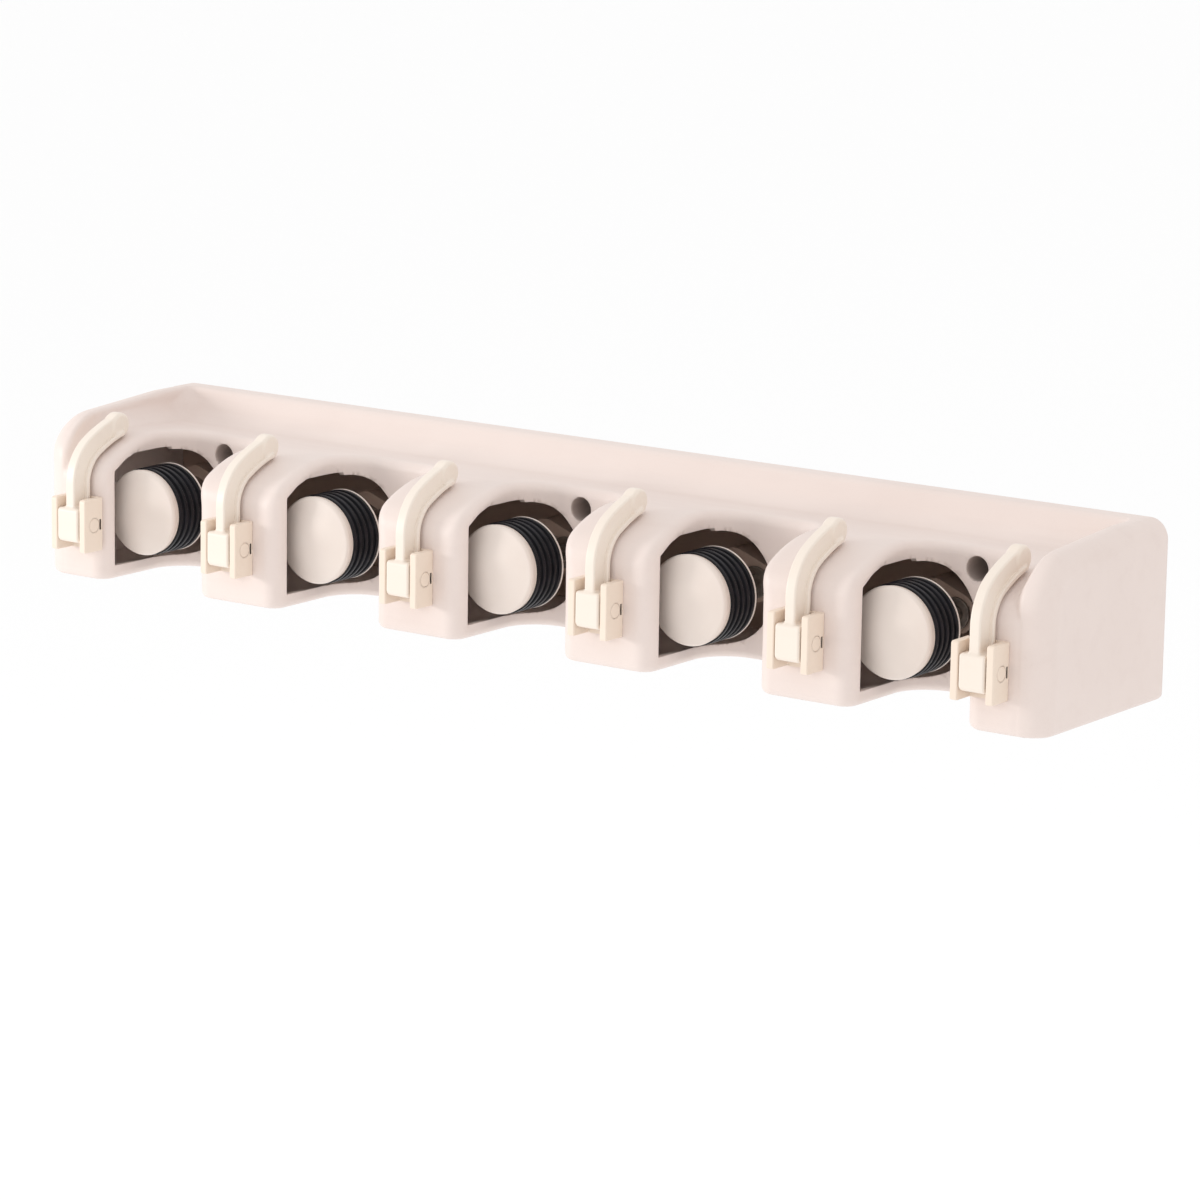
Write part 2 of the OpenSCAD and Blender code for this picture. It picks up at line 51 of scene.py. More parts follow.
CROWN_SLOPE, DECK_SLOPE, RIM_SLOPE = 30.0, 2.5, 60.0
COVE_RADIUS, RIM_CENTRE, RIM_RADIUS = 10.0, (-6.0, 57.0), 3.0
FAR_REAR, FAR_BELOW = 40.0, 80.0
CHEEK_FACE, CHEEK_TOP, CHEEK_FRONT_RADIUS, CHEEK_EDGE = 198.0, 59.9, 18.5, 1.5
CHEEK_REAR, CHEEK_FALL = -22.0, 0.07
CHEEK_FILLET, FILLET_RISE, FILLET_LOSS, FILLET_FADE = 7.0, (36.0, 48.0), 0.6, (54.0, 60.0)
WINDOW_REAR, WINDOW_SILL, WINDOW_PIERCE = 42.0, 5.0, 2.25
WINDOW_BENDS = np.array([(-71.0, 39.0), (-65.5, 42.4), (-60.0, 44.3)])
ROLLER_HEIGHT, EYE_CENTRE, EYE_RADIUS, EYE_MIDDLE, EYE_REACH = 24.0, -19.3, 19.3, 40.75, 8.25
SCREW_HEIGHT, SCREW_SPACING, SCREW_BORE, HEAD_BORE = 42.5, 158.0, 2.25, 4.1
TUBE_RADIUS, TUBE_FRONT, HOLE_EDGE = 6.0, -35.0, 0.5
PILLAR_SHIFT, PILLAR_LOW, PILLAR_HIGH, PILLAR_RADIUS, PLATE_THICK = 11.0, 9.0, 39.5, 3.5, 3.0
HOOK_PLACES = np.array([-187.6, -118.5, -39.5, 39.5, 118.5, 187.6])
POCKET_WIDE, POCKET_HEIGHT, POCKET_HALF, HEEL_MIDDLE, HEEL_HALF = 5.2, 20.8, 7.25, 76.0, 2.2


def round_union(a, b, radius):
    """Smaller of two distances, with a hollow quarter round of the radius where the two skins meet."""
    inner = np.hypot(np.maximum(radius - a, 0), np.maximum(radius - b, 0))
    return np.maximum(radius, np.minimum(a, b)) - inner


def round_common(a, b, radius):
    """Larger of two distances, with a full quarter round of the radius along the shared edge."""
    outer = np.hypot(np.maximum(radius + a, 0), np.maximum(radius + b, 0))
    return np.minimum(-radius, np.maximum(a, b)) + outer


def ease(value, low, high):
    """Rises from 0 at low to 1 at high with no kink at either end."""
    t = np.clip((value - low) / (high - low), 0, 1)
    return t * t * (3 - 2 * t)


def arc(centre, radius, start, end, count):
    """Points of a circle between two angles in degrees, as rows of Y and Z."""
    angle = np.radians(np.linspace(start, end, count))
    return np.stack([centre[0] + radius * np.cos(angle), centre[1] + radius * np.sin(angle)], axis=1)


def top_path():
    """Section of the top: front bend, arched pier, sloping deck, cove, leaning band and round rim."""
    deck_dir = np.radians(-DECK_SLOPE)
    rim_dir = np.radians(RIM_SLOPE)
    deck_normal = np.array([-np.sin(deck_dir), np.cos(deck_dir)])
    rim_normal = np.array([-np.sin(rim_dir), np.cos(rim_dir)])
    deck_point = np.array(CROWN_CENTRE) + CROWN_RADIUS * deck_normal
    rim_point = np.array(RIM_CENTRE) + RIM_RADIUS * rim_normal
    reach = np.array([deck_point @ deck_normal, rim_point @ rim_normal]) + COVE_RADIUS
    cove = np.linalg.solve(np.stack([deck_normal, rim_normal]), reach)
    return np.concatenate([
        arc(BEND_CENTRE, BEND_RADIUS, 180, 90 + CROWN_SLOPE, 16)[:-1],
        arc(CROWN_CENTRE, CROWN_RADIUS, 90 + CROWN_SLOPE, 90 - DECK_SLOPE, 24),
        arc(cove, COVE_RADIUS, 270 - DECK_SLOPE, 270 + RIM_SLOPE, 14),
        arc(RIM_CENTRE, RIM_RADIUS, 90 + RIM_SLOPE, 90, 10),
        [[FAR_REAR, RACK_HEIGHT]]])


TOP_PATH = top_path()


def top_distance(y, z):
    """Signed distance from the section's outline, negative inside the moulding."""
    path = np.concatenate([[[-PIER_FRONT, -FAR_BELOW]], TOP_PATH])
    nearest = np.full(np.broadcast(y, z).shape, 1e9)
    for start, end in zip(path[:-1], path[1:]):
        step = end - start
        t = np.clip(((y - start[0]) * step[0] + (z - start[1]) * step[1]) / (step @ step), 0, 1)
        nearest = np.minimum(nearest, (y - start[0] - t * step[0]) ** 2 + (z - start[1] - t * step[1]) ** 2)
    under = (y > -PIER_FRONT) & (z < np.interp(y, TOP_PATH[:, 0], TOP_PATH[:, 1]))
    return np.sqrt(nearest) * np.where(under, -1, 1)


def slot_distance(across, y):
    """Signed distance from a slot's plan: straight sides, two round inner corners, open at the front."""
    depth = 200.0
    side = np.abs(across) - SLOT_HALF + SLOT_CORNER
    end = np.abs(y + SLOT_BACK + depth) - depth + SLOT_CORNER
    outside = np.hypot(np.maximum(side, 0), np.maximum(end, 0))
    return outside + np.minimum(np.maximum(side, end), 0) - SLOT_CORNER


def window_distance(across, y, z):
    """Opening that shows a roller: a five-sided hole in the pier wall and a round one in the slot's back."""
    front, upper = WINDOW_BENDS[0, 0], WINDOW_BENDS[-1, 1]
    hole = np.maximum(np.maximum(front - y, WINDOW_SILL - z), np.maximum(z - upper, y + WINDOW_REAR))
    for start, end in zip(WINDOW_BENDS[:-1], WINDOW_BENDS[1:]):
        step = (end - start) / np.hypot(*(end - start))
        hole = np.maximum(hole, (z - start[1]) * step[0] - (y - start[0]) * step[1])
    hole = np.maximum(hole, np.abs(across + SLOT_HALF + WALL / 2) - WINDOW_PIERCE)
    eye = np.hypot(across - EYE_CENTRE, z - ROLLER_HEIGHT) - EYE_RADIUS
    eye = np.maximum(eye, np.abs(y + EYE_MIDDLE) - EYE_REACH)
    return np.minimum(hole, eye)


def housing_distance(x, y, z):
    """Signed distance of the whole moulding, put together from its outside, its hollow and its holes."""
    along = np.abs(x)
    across = x - PITCH * np.round(np.clip(x / PITCH, -2, 2))
    top, slot = top_distance(y, z), slot_distance(across, y)
    cheek_top = z - CHEEK_TOP + CHEEK_FALL * np.maximum(CHEEK_REAR - y, 0)
    cheek = round_common(-PIER_FRONT - y, cheek_top, CHEEK_FRONT_RADIUS)
    cheek = round_common(cheek, CHEEK_FACE - along, CHEEK_EDGE)
    fillet = CHEEK_FILLET * ease(z, *FILLET_RISE) * (1 - FILLET_LOSS * ease(z, *FILLET_FADE))
    body = np.maximum(round_union(top, cheek, fillet), z - RACK_HEIGHT)
    body = round_common(body, along - HALF_LENGTH, END_EDGE - END_EDGE_LOSS * ease(z, *END_EDGE_SPAN))
    body = round_common(body, -slot, PIER_EDGE - PIER_EDGE_LOSS * ease(z, *PIER_EDGE_SPAN))
    shell = round_common(body, -z, FOOT_EDGE)
    body = round_common(shell, y + REAR_GAP, REAR_EDGE)
    rear = np.maximum(RIM_CENTRE[0] - y, z - RACK_HEIGHT + WALL)
    hollow = np.maximum(shell + WALL, np.minimum(top + WALL, rear))
    body = np.maximum(body, -hollow)
    beside = x - SCREW_SPACING * np.round(np.clip(x / SCREW_SPACING, -1, 1))
    screw = np.hypot(beside, z - SCREW_HEIGHT)
    tube = np.maximum(screw - TUBE_RADIUS, np.maximum(TUBE_FRONT - y, y))
    lower = np.hypot(across - PILLAR_SHIFT, z - PILLAR_LOW)
    upper = np.hypot(np.abs(np.abs(x - PILLAR_SHIFT) - PITCH), z - PILLAR_HIGH)
    pillar = np.minimum(lower, upper) - PILLAR_RADIUS
    pillar = np.maximum(pillar, np.maximum(TUBE_FRONT - y, y + PLATE_THICK))
    body = np.minimum(body, np.minimum(tube, pillar))
    body = round_common(body, -window_distance(across, y, z), HOLE_EDGE)
    bore = np.minimum(np.maximum(screw - HEAD_BORE, y + PLATE_THICK), screw - SCREW_BORE)
    body = round_common(body, -bore, HOLE_EDGE)
    hook = np.abs(x[..., None] - HOOK_PLACES).min(axis=-1)
    pocket = np.maximum(hook - POCKET_WIDE, np.abs(z - POCKET_HEIGHT) - POCKET_HALF)
    return np.maximum(body, -np.maximum(pocket, np.abs(y + HEEL_MIDDLE) - HEEL_HALF))


def lines(*stretches):
    """Grid lines along one axis; each stretch is its start, its end and the spacing inside it."""
    parts = [np.linspace(start, end, max(int(round((end - start) / step)), 1), endpoint=False)
             for start, end, step in stretches]
    return np.concatenate(parts + [[stretches[-1][1]]])


def rack_stretches():
    """Stretches along the rack: fine at the slots' corners and at the ends, wider between them."""
    fine, outer = 1.05, HALF_LENGTH + 1.6
    one_slot = ((-39.5, -29, 2.6), (-29, -11, fine), (-11, -5.5, 2.7), (-5.5, 5.5, 1.1),
                (5.5, 11, 2.7), (11, 29, fine), (29, 39.5, 2.6))
    inner = [(low + PITCH * slot, high + PITCH * slot, step)
             for slot in range(-2, 3) for low, high, step in one_slot]
    end = inner[-1][1]
    return [(-outer, -end, fine)] + inner + [(end, outer, fine)]


def slope_of(distance, points):
    """Unit direction in which a distance grows fastest, from four points around each place."""
    reach = 0.05
    corners = np.array([[1, -1, -1], [-1, -1, 1], [-1, 1, -1], [1, 1, 1]], float)
    total = sum(c * distance(*(points + reach * c).T)[:, None] for c in corners)
    return total / np.maximum(np.linalg.norm(total, axis=1, keepdims=True), 1e-9)


HALVINGS, STIFFNESS = 5, 0.08
SETTLINGS, SETTLE_REACH = 2, 0.6


def skin(distance, xs, ys, zs):
    """Closed skin where a distance is zero. Each grid cell that the skin crosses gets one point, the place
    nearest to all the planes that touch the skin where the cell's edges cross it, so a sharp edge stays.
    Each grid edge that the skin crosses gets one face of four such points."""
    grid = (xs, ys, zs)
    level = distance(xs[:, None, None], ys[None, :, None], zs[None, None, :])
    level = np.broadcast_to(level, (len(xs), len(ys), len(zs)))
    cells = np.array(level.shape) - 1
    strides = np.array([cells[1] * cells[2], cells[2], 1])
    crossings, rings = [], []
    for axis in range(3):
        b, c = (axis + 1) % 3, (axis + 2) % 3
        here = np.moveaxis(level, axis, 0)[:-1]
        there = np.moveaxis(level, axis, 0)[1:]
        found = np.argwhere((here < 0) != (there < 0))
        order = [axis] + [k for k in range(3) if k != axis]
        place = np.empty_like(found)
        place[:, order] = found
        low = np.stack([grid[k][place[:, k]] for k in range(3)], axis=1)
        high = low.copy()
        high[:, axis] = grid[axis][place[:, axis] + 1]
        flip = (here[tuple(found.T)] >= 0)[:, None]
        inner, outer = np.where(flip, high, low), np.where(flip, low, high)
        for _ in range(HALVINGS):
            middle = (inner + outer) / 2
            inside = (distance(*middle.T) < 0)[:, None]
            inner, outer = np.where(inside, middle, inner), np.where(inside, outer, middle)
        crossings.append((inner + outer) / 2)
        corner = place @ strides
        ring = np.stack([corner - back_b * strides[b] - back_c * strides[c]
                         for back_b, back_c in ((1, 1), (0, 1), (0, 0), (1, 0))], axis=1)
        rings.append(np.where(flip, ring[:, ::-1], ring))
    crossings, rings = np.concatenate(crossings), np.concatenate(rings)
    used, number = np.unique(rings, return_inverse=True)
    number = number.reshape(rings.shape)
    across = slope_of(distance, crossings)

    def gathered(values):
        return np.bincount(number.ravel(), weights=np.repeat(values, 4), minlength=len(used))

    count = gathered(np.ones(len(crossings)))
    mean = np.stack([gathered(crossings[:, k]) for k in range(3)], axis=1) / count[:, None]
    spread = np.empty((len(used), 3, 3))
    reach = np.sum(across * crossings, axis=1)
    pull = np.stack([gathered(across[:, k] * reach) for k in range(3)], axis=1)
    for row in range(3):
        for column in range(3):
            spread[:, row, column] = gathered(across[:, row] * across[:, column])
    pull -= np.einsum("nij,nj->ni", spread, mean)
    points = mean + np.linalg.solve(spread + STIFFNESS * np.eye(3), pull[..., None])[..., 0]
    cell = np.stack(np.unravel_index(used, cells), axis=1)
    low = np.stack([grid[k][cell[:, k]] for k in range(3)], axis=1)
    high = np.stack([grid[k][cell[:, k] + 1] for k in range(3)], axis=1)
    points = np.clip(points, low, high)
    for _ in range(SETTLINGS):
        off = np.clip(distance(*points.T), -SETTLE_REACH, SETTLE_REACH)
        points -= slope_of(distance, points) * off[:, None]
    return points, number


EDGE_COSINE = 0.87


def crisp(points, faces, normals):
    """Normal of every face corner: the point's own, or the face's where the two differ by a real edge."""
    blocks = []
    for block in faces:
        corner = points[block]
        flat = np.cross(corner[:, 2] - corner[:, 0], corner[:, -1] - corner[:, 1])
        flat /= np.maximum(np.linalg.norm(flat, axis=1, keepdims=True), 1e-12)
        own = normals[block]
        same = np.einsum("nki,ni->nk", own, flat) > EDGE_COSINE
        blocks.append(np.where(same[..., None], own, flat[:, None]).reshape(-1, 3))
    return np.concatenate(blocks)


def piece(name, points, faces, normals, shade=None):
    """Mesh object from points in millimetres above the underside, blocks of faces and one normal per point.
    The shade, if any, is a share from 0 to 1 for each point, which the material turns into painted shade."""
    mesh = bpy.data.meshes.new(name)
    place = (points - np.array([0, 0, MID_HEIGHT])) * MM
    sizes = np.concatenate([np.full(len(block), block.shape[1]) for block in faces])
    corners = np.concatenate([block.ravel() for block in faces])
    mesh.vertices.add(len(place))
    mesh.vertices.foreach_set("co", place.astype(np.float32).ravel())
    mesh.loops.add(len(corners))
    mesh.loops.foreach_set("vertex_index", corners.astype(np.int32))
    mesh.polygons.add(len(sizes))
    mesh.polygons.foreach_set("loop_start", (np.cumsum(sizes) - sizes).astype(np.int32))
    mesh.update(calc_edges=True)
    mesh.polygons.foreach_set("use_smooth", np.ones(len(sizes), bool))
    mesh.normals_split_custom_set(crisp(points, faces, normals))
    if shade is not None:
        shares = mesh.attributes.new("shade", "FLOAT", "POINT")
        shares.data.foreach_set("value", shade.astype(np.float32))
    obj = bpy.data.objects.new(name, mesh)
    bpy.context.scene.collection.objects.link(obj)
    return obj


class Tone:
    """A node's output that can be used in sums; numbers and colours stay on their own nodes."""

    def __init__(self, finish, socket):
        self.finish, self.socket = finish, socket

    def maths(self, kind, first, second):
        return self.finish.node("ShaderNodeMath", {"operation": kind}, {0: first, 1: second})

    def __add__(self, other):
        return self.maths("ADD", self, other)

    def __sub__(self, other):
        return self.maths("SUBTRACT", self, other)

    def __rsub__(self, other):
        return self.maths("SUBTRACT", other, self)

    def __mul__(self, other):
        return self.maths("MULTIPLY", self, other)

    __radd__, __rmul__ = __add__, __mul__


class Finish:
    """A material for one kind of surface; node() adds one node and returns one of its outputs."""

    def __init__(self, name):
        self.material = bpy.data.materials.new(name)
        self.material.use_nodes = True
        self.tree = self.material.node_tree
        self.tree.nodes.clear()
        self.end = self.tree.nodes.new("ShaderNodeOutputMaterial")
        self.place = self.node("ShaderNodeTexCoord", output="Object")

    def node(self, kind, settings=None, sockets=None, output=0):
        made = self.tree.nodes.new(kind)
        for key, value in (settings or {}).items():
            setattr(made, key, value)
        for key, value in (sockets or {}).items():
            if isinstance(value, Tone):
                self.tree.links.new(value.socket, made.inputs[key])
            else:
                made.inputs[key].default_value = value
        return Tone(self, made.outputs[output])

    def noise(self, scale, detail=2.0, rough=0.5, stretch=None):
        place = self.place
        if stretch:
            place = self.node("ShaderNodeVectorMath", {"operation": "MULTIPLY"}, {0: place, 1: stretch})
        return self.node("ShaderNodeTexNoise", {}, {
            "Vector": place, "Scale": scale, "Detail": detail, "Roughness": rough}, "Fac")

    def range(self, tone, low, high):
        return self.node("ShaderNodeMapRange", {"clamp": True}, {
            "Value": tone, "From Min": low, "From Max": high, "To Min": 0.0, "To Max": 1.0})

    def mix(self, share, first, second):
        return self.node("ShaderNodeMix", {"data_type": "RGBA"}, {0: share, 6: first, 7: second}, 2)

    def surface(self, **sockets):
        shader = self.node("ShaderNodeBsdfPrincipled", {}, sockets)
        self.tree.links.new(shader.socket, self.end.inputs["Surface"])
        return self.material


# Painted shade: the dark brown that holes and slits take in place of the shade that falls in them.
PAINTED_SHADE_TONE = (0.12, 0.08, 0.062, 1)


def moulded(name, colour, shade, rough, grain):
    """Moulded plastic: a slow drift between two close tones, faint flow lines along the rack, a fine eroded
    grain and a little uneven gloss. Points with a shade share, deep in holes and slits, take a dark tone,
    which is painted shade."""
    finish = Finish(name)
    drift = finish.range(finish.noise(14.0, 3.0, 0.55), 0.35, 0.68)
    fleck = finish.range(finish.noise(1500.0, 2.0, 0.6), 0.58, 0.75)
    flow = finish.range(finish.noise(150.0, 3.0, 0.6, (0.1, 1.0, 1.0)), 0.5, 0.75)
    tone = finish.mix(drift * 0.7 + fleck * 0.3 + flow * 0.4, colour, shade)
    # Painted shade: each point's shade share mixes the dark tone into the colour.
    deep = finish.node("ShaderNodeAttribute", {"attribute_name": "shade"}, output="Fac")
    tone = finish.mix(deep, tone, PAINTED_SHADE_TONE)
    height = finish.noise(1100.0, 2.0, 0.55) + finish.noise(260.0, 2.0, 0.5) * 0.6
    bump = finish.node("ShaderNodeBump", {}, {"Strength": grain, "Distance": 0.00012, "Height": height})
    gloss = finish.noise(38.0, 2.0, 0.5) * 0.12 + (rough - 0.06)
    return finish.surface(**{
        "Base Color": tone, "Roughness": gloss, "Normal": bump, "Specular IOR Level": 0.42})


def dress(obj, material, slot, body, *nodes):
    """Gives a piece its material, the body it rides on and the CAD nodes it stands for. The slot is not
    used.
    """
    obj.data.materials.clear()
    obj.data.materials.append(material)
    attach(obj, body)
    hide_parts(*nodes)


TUBE_PAINTED_SHADE = 0.45
beige = moulded("beige_moulding", (0.81, 0.70, 0.65, 1), (0.765, 0.65, 0.60, 1), 0.46, 0.10)
points, quads = skin(
    housing_distance,
    lines(*rack_stretches()),
    lines((-78.5, -66, 1.0), (-66, -50, 2.0), (-50, -31, 1.0), (-31, -14, 2.4), (-14, 1.5, 1.1)),
    lines((-1.5, 7, 0.95), (7, 34, 3.0), (34, 61.5, 1.15)))
# Painted shade inside the screw tubes: points near a screw's axis, from just inside the tube's mouth, take
# part of the dark tone.
beside_screw = points[:, 0] - SCREW_SPACING * np.round(points[:, 0] / SCREW_SPACING)
from_screw = np.hypot(beside_screw, points[:, 2] - SCREW_HEIGHT)
behind_deck = ease(points[:, 1], TUBE_FRONT - 1.05, TUBE_FRONT - 0.5)
painted_tube_shade = TUBE_PAINTED_SHADE * ease(-from_screw, -5.0, -4.4) * behind_deck
housing = piece("housing_moulding", points, [quads], slope_of(housing_distance, points), painted_tube_shade)
dress(housing, beige, "housing_plastic", "rack", "housing")

# Back plate: moulded plate, screwed into the housing's rear, with a raised guide around each track.
# It closes the rack at the rear and shows behind the rollers. Its brown, darker than the housing's beige, is
# painted shade for the inside.
shade_brown = moulded("brown_plate_painted_shade", (0.56, 0.43, 0.36, 1), (0.50, 0.375, 0.31, 1), 0.55, 0.12)
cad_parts["back_plate"].active_material = shade_brown

# Plate screws: seven equal self-tapping screws of zinc-plated steel, with a cross recess in the head.
# They are driven from the rear, through the plate, into the housing's pillars.
SCREW_PLACES = [(PITCH * slot + PILLAR_SHIFT, 0, PILLAR_LOW) for slot in range(-2, 3)]
SCREW_PLACES += [(PITCH * slot + PILLAR_SHIFT, 0, PILLAR_HIGH) for slot in (-1, 1)]
HEAD_RADIUS, HEAD_MIDDLE, HEAD_HALF, HEAD_EDGE = 2.8, 0.9, 0.7, 0.45
SHANK_RADIUS, SHANK_END = 1.28, -16.0
RECESS_LONG, RECESS_HALF, RECESS_TAPER, RECESS_TOP, RECESS_END = 1.75, 0.5, 0.30, -0.2, -1.1


def screw_distance(x, y, z):
    """Round head with a soft rim, a straight shank and two crossed slots, narrower at their bottom."""
    radius = np.hypot(x, z)
    head = round_common(radius - HEAD_RADIUS, np.abs(y + HEAD_MIDDLE) - HEAD_HALF, HEAD_EDGE)
    shank = np.maximum(radius - SHANK_RADIUS, np.maximum(SHANK_END - y, y + HEAD_MIDDLE))
    narrow = RECESS_TAPER * np.clip(RECESS_TOP - y, 0, 1)
    long, short = RECESS_LONG - 2 * narrow, RECESS_HALF - narrow
    recess = np.minimum(np.maximum(np.abs(x) - long, np.abs(z) - short),
                        np.maximum(np.abs(z) - long, np.abs(x) - short))
    return np.maximum(np.minimum(head, shank), -np.maximum(recess, RECESS_END - y))


def copies(points, faces, normals, places):
    """The same shape at several places, as one set of points, faces and normals."""
    places = np.array(places, float)
    step = len(points) * np.arange(len(places))
    points = (places[:, None, :] + points[None]).reshape(-1, 3)
    faces = [(step[:, None, None] + block[None]).reshape(-1, block.shape[1]) for block in faces]
    return points, faces, np.tile(normals, (len(places), 1))


def steel_finish(name, colour, rough):
    """Plated steel: a grey that drifts a little, with fine dull patches and a faint turned grain."""
    finish = Finish(name)
    patch = finish.range(finish.noise(420.0, 3.0, 0.6), 0.35, 0.7)
    tone = finish.mix(patch, colour, tuple(0.72 * c for c in colour[:3]) + (1,))
    bump = finish.node("ShaderNodeBump", {}, {
        "Strength": 0.15, "Distance": 0.00005, "Height": finish.noise(1900.0, 2.0, 0.5)})
    return finish.surface(**{
        "Base Color": tone, "Metallic": 1.0, "Roughness": patch * 0.16 + rough, "Normal": bump})


zinc = steel_finish("zinc_steel", (0.62, 0.63, 0.64, 1), 0.28)
head_lines = lines((-3.1, 3.1, 0.16))
points, quads = skin(screw_distance, head_lines, lines((-16.4, -2, 1.8), (-2, 0.2, 0.16)), head_lines)
normals = slope_of(screw_distance, points)
screws = piece("plate_screw_set", *copies(points, [quads], normals, SCREW_PLACES))
dress(screws, zinc, "steel", "rack", "plate_screws")

# Hook brackets: cream moulded brackets, each with two ears, a thin web on the pier and two pegs.
# They are pressed into the pier fronts; each ear has a bore for the pin and a moulding slit behind it.
PIN_DEPTH, PIN_HEIGHT, PIN_RADIUS = 81.4, 20.95, 2.5
EAR_OUT, EAR_LOW, EAR_HIGH, EAR_FRONT = 7.9, 11.4, 30.5, 86.6
EAR_TOP_CORNER, EAR_FOOT_CORNER, EAR_EDGE, EAR_BORE_EDGE = 1.0, 0.8, 0.4, 0.25
WEB_THICK, POCKET_REACH = 1.0, 2.0
SLIT_DEPTH, SLIT_HALF, SLIT_REACH = 78.25, 0.5, 1.9
PEG_HEIGHTS, PEG_RADIUS, PEG_FRONT, PEG_END = (12.475, 29.1), 1.0, -77.05, 74.2
SLIT_PAINTED_SHADE_EDGE, BORE_PAINTED_SHADE, BORE_LINE = 7.85, 0.22, 2.6


def pin_circle(y, z):
    """Distance from the hook pin's axis."""
    return np.hypot(y + PIN_DEPTH, z - PIN_HEIGHT)


def slit_distance(y, z):
    """Distance from the upright slit that the mould leaves behind each pin."""
    return np.maximum(np.abs(y + SLIT_DEPTH) - SLIT_HALF, np.abs(z - PIN_HEIGHT) - SLIT_REACH)


def bracket_distance(x, y, z):
    """Two ears joined by a web above and below the hook's pocket, less the pin's bore and the two slits."""
    half = np.abs(x)
    side = round_common(-EAR_FRONT - y, z - EAR_HIGH, EAR_TOP_CORNER)
    side = np.maximum(round_common(side, EAR_LOW - z, EAR_FOOT_CORNER), y + PIER_FRONT)
    ear = np.abs(half - (EAR_OUT + POCKET_WIDE) / 2) - (EAR_OUT - POCKET_WIDE) / 2
    ear = round_common(side, ear, EAR_EDGE)
    web = np.maximum(np.maximum(half - POCKET_WIDE - EAR_EDGE, -PIER_FRONT - WEB_THICK - y), side)
    body = round_union(ear, web, EAR_EDGE)
    pocket = np.maximum(half - POCKET_WIDE, np.abs(z - POCKET_HEIGHT) - POCKET_HALF)
    body = np.maximum(body, -np.maximum(pocket, np.abs(y + PIER_FRONT) - POCKET_REACH))
    body = round_common(body, PIN_RADIUS - pin_circle(y, z), EAR_BORE_EDGE)
    body = np.maximum(body, -slit_distance(y, z))
    peg = np.minimum(*(np.hypot(x, z - height) for height in PEG_HEIGHTS)) - PEG_RADIUS
    return np.minimum(body, np.maximum(peg, np.maximum(PEG_FRONT - y, y + PEG_END)))


cream = moulded("cream_moulding", (0.86, 0.73, 0.615, 1), (0.83, 0.69, 0.57, 1), 0.40, 0.06)
points, quads = skin(bracket_distance, lines((-8.3, 8.3, 0.33)),
                     lines((-87, -79.3, 0.42), (-79.3, -76.7, 0.2), (-76.7, -73.8, 0.5)),
                     lines((10.9, 31, 0.38)))
normals = slope_of(bracket_distance, points)
# Painted shade: the walls of the slit behind each pin and a thin ring round the pin's bore take the dark
# tone.
painted_ear_shade = ease(-slit_distance(points[:, 1], points[:, 2]), -0.15, -0.02)
painted_ear_shade = painted_ear_shade * ease(-np.abs(points[:, 0]), -SLIT_PAINTED_SHADE_EDGE, 0.25 - SLIT_PAINTED_SHADE_EDGE)
at_bore = np.abs(pin_circle(points[:, 1], points[:, 2]) - BORE_LINE)
painted_ear_shade = np.maximum(painted_ear_shade, BORE_PAINTED_SHADE * ease(-at_bore, -0.3, -0.1))
for number, place in enumerate(HOOK_PLACES, 1):
    bracket = piece(f"hook_bracket_moulding_{number}", points + (place, 0, 0), [quads], normals, painted_ear_shade)
    dress(bracket, cream, "hook_plastic", "rack", f"hook_bracket_{number}")

# Folding hooks: cream mouldings with a pivot block between the ears and a ribbed arm that follows the pier.
# The arm is a rib on a thin rail, ends in a round tip and folds down about the pin to make a hook.
ARM_NEAR, ARM_FAR, ARM_START = 1.4, 8.6, 3.0
RIB_HALF, RIB_EDGE = 2.0, 0.7
RAIL_FAR, RAIL_HALF, RAIL_EDGE, RAIL_ROOT = 2.9, 3.4, 0.25, 0.12
TIP_ANGLE, TIP_HEIGHT, TIP_RADIUS, TIP_HALF, TIP_EDGE, TIP_ROOT = 14.0, 4.9, 4.5, 2.6, 1.3, 0.9
BLOCK_MIDDLE, BLOCK_DEPTH, BLOCK_HIGH, BLOCK_HALF, BLOCK_EDGE, BLOCK_ROOT = 82.3, 4.7, 6.15, 4.7, 0.8, 1.0
BLOCK_HEEL, BLOCK_BROW, BLOCK_CHIN = 3.0, 1.2, 2.2
HOOK_BORE, HOOK_BORE_EDGE = 2.55, 0.2


def between(value, low, high):
    """Distance from a band of values, negative between its two limits."""
    return np.abs(value - (low + high) / 2) - (high - low) / 2


def hook_distance(x, y, z):
    """Rib and rail at set distances from the pier's outline, cut off near the crown, with a round tip
    and the pivot block."""
    half, off = np.abs(x), top_distance(y, z)
    lean = np.radians(TIP_ANGLE)
    end = (y - CROWN_CENTRE[0]) * np.cos(lean) + (z - CROWN_CENTRE[1]) * np.sin(lean)
    start = PIN_HEIGHT + ARM_START - z
    rib = round_common(between(off, ARM_NEAR, ARM_FAR), half - RIB_HALF, RIB_EDGE)
    rail = round_common(between(off, ARM_NEAR, RAIL_FAR), half - RAIL_HALF, RAIL_EDGE)
    arm = np.maximum(round_union(rib, rail, RAIL_ROOT), np.maximum(end, start))
    reach = CROWN_RADIUS + TIP_HEIGHT
    tip = np.hypot(y - CROWN_CENTRE[0] + reach * np.sin(lean), z - CROWN_CENTRE[1] - reach * np.cos(lean))
    arm = round_union(arm, round_common(tip - TIP_RADIUS, half - TIP_HALF, TIP_EDGE), TIP_ROOT)
    front_corner = np.where(z > POCKET_HEIGHT, BLOCK_BROW, BLOCK_CHIN)
    corner = np.where(y > -BLOCK_MIDDLE, BLOCK_HEEL, front_corner)
    deep, high = np.abs(y + BLOCK_MIDDLE) - BLOCK_DEPTH, np.abs(z - POCKET_HEIGHT) - BLOCK_HIGH
    block = round_common(deep, high, corner)
    block = round_common(block, half - BLOCK_HALF, BLOCK_EDGE)
    body = round_union(arm, block, BLOCK_ROOT)
    return round_common(body, HOOK_BORE - pin_circle(y, z), HOOK_BORE_EDGE)


